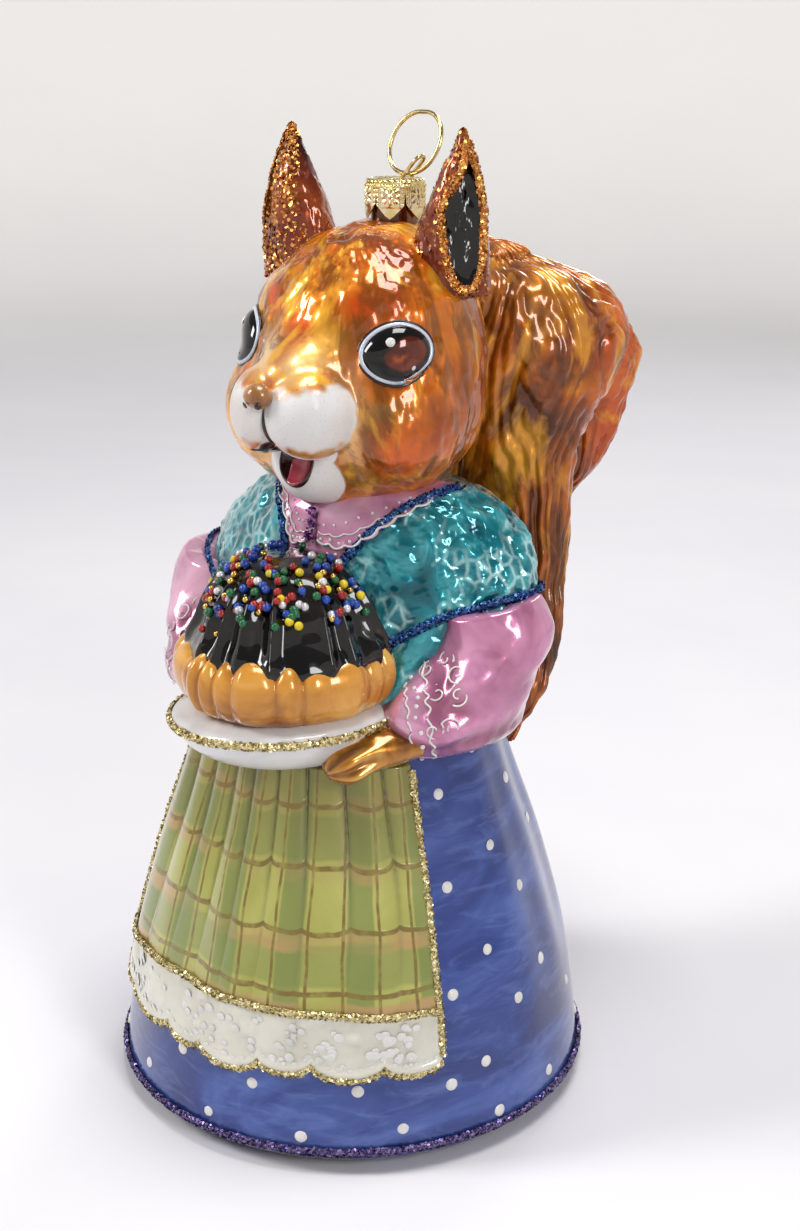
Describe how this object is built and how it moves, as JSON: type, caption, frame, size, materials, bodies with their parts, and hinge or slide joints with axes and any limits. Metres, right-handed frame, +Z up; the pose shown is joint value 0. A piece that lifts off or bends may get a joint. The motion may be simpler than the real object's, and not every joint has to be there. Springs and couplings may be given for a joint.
{
  "type": "squirrel ornament",
  "caption": "Blown glass squirrel ornament in a long skirt and apron, holding a glazed cake on a plate, with a metal crown cap, wire staple and swinging hanging ring.",
  "frame": {"origin": "middle of the flat foot, on the surface it stands on", "axes": "-Y is the way the figure faces, +X is the figure's left, +Z is up"},
  "size_m": [0.0851, 0.1036, 0.164],
  "materials": {
    "skirt_blue": "brushed periwinkle lacquer over silvered glass, pale blue dots",
    "foot_blue": "dark blue lacquer",
    "glitter_violet": "blue-violet glitter in glue",
    "glitter_gold": "pale gold glitter in glue",
    "glitter_blue": "dark blue glitter in glue",
    "glitter_copper": "orange-gold glitter in glue",
    "apron_plaid": "yellow-green plaid lacquer over pleats",
    "lace_white": "off-white lacquer with raised dots",
    "vest_teal": "ribbed teal lacquer",
    "blouse_pink": "pink lacquer",
    "sleeve_pink": "orchid pink lacquer with white scalloped lines and dots",
    "paw_brown": "golden brown lacquer",
    "plate_white": "white lacquer",
    "crust_caramel": "pearly caramel lacquer",
    "glaze_black": "glossy black lacquer",
    "bead_red": "glossy",
    "bead_blue": "glossy",
    "bead_green": "glossy",
    "bead_gold": "glossy, silver lined",
    "bead_clear": "glossy, silver lined",
    "bead_yellow": "glossy",
    "tail_amber": "grooved amber, brown and olive lacquer over silvered glass",
    "head_amber": "mottled amber lacquer over silvered glass",
    "muzzle_white": "matte white with fine sparkle",
    "nose_tan": "glossy tan lacquer",
    "mouth_brown": "glossy dark brown lacquer",
    "tongue_pink": "glossy pink lacquer",
    "eye_brown": "glossy dark brown lacquer with a black pupil",
    "ear_brown": "red-brown lacquer",
    "lining_black": "glossy black lacquer",
    "pipe_glass": "silvered glass",
    "cap_gold": "stamped, bright gold",
    "wire_gold": "bright drawn wire"
  },
  "bodies": {
    "ornament": {"base": "foot_blue", "skirt": "skirt_blue", "hem_glitter": "glitter_violet", "apron": "apron_plaid", "apron_lace": "lace_white", "apron_side_glitter": "glitter_gold", "lace_top_glitter": "glitter_gold", "lace_edge_glitter": "glitter_gold", "bodice": "vest_teal", "blouse_front": "blouse_pink", "blouse_buttons": "glitter_copper", "collar": "blouse_pink", "vest_neck_glitter": "glitter_blue", "vest_arm_glitter": "glitter_blue", "sleeve_left": "sleeve_pink", "sleeve_right": "sleeve_pink", "paw_left": "paw_brown", "paw_right": "paw_brown", "plate": "plate_white", "plate_rim_glitter": "glitter_gold", "cake_crust": "crust_caramel", "cake_glaze": "glaze_black", "beads_red": "bead_red", "beads_blue": "bead_blue", "beads_green": "bead_green", "beads_gold": "bead_gold", "beads_clear": "bead_clear", "beads_yellow": "bead_yellow", "tail": "tail_amber", "head": "head_amber", "muzzle": "muzzle_white", "chin": "muzzle_white", "nose": "nose_tan", "mouth": "mouth_brown", "tongue": "tongue_pink", "eye_left": "eye_brown", "eye_right": "eye_brown", "ear_left": "ear_brown", "ear_right": "ear_brown", "ear_lining_left": "lining_black", "ear_lining_right": "lining_black", "ear_rim_glitter_left": "glitter_copper", "ear_rim_glitter_right": "glitter_copper", "blow_pipe": "pipe_glass"},
    "crown": {"crown_cap": "cap_gold", "wire_staple": "wire_gold"},
    "ring": {"hanging_ring": "wire_gold"}
  },
  "joints": [
    {"name": "crown_lift", "type": "slide", "parent": "ornament", "child": "crown", "axis": [0, 0, 1], "range_m": [0, 0.016]},
    {"name": "ring_swing", "type": "hinge", "parent": "crown", "child": "ring", "pos_m": [0.0023, 0.0128, 0.15422], "axis": [0.9744, -0.225, 0], "range_deg": [-60, 105]}
  ]
}
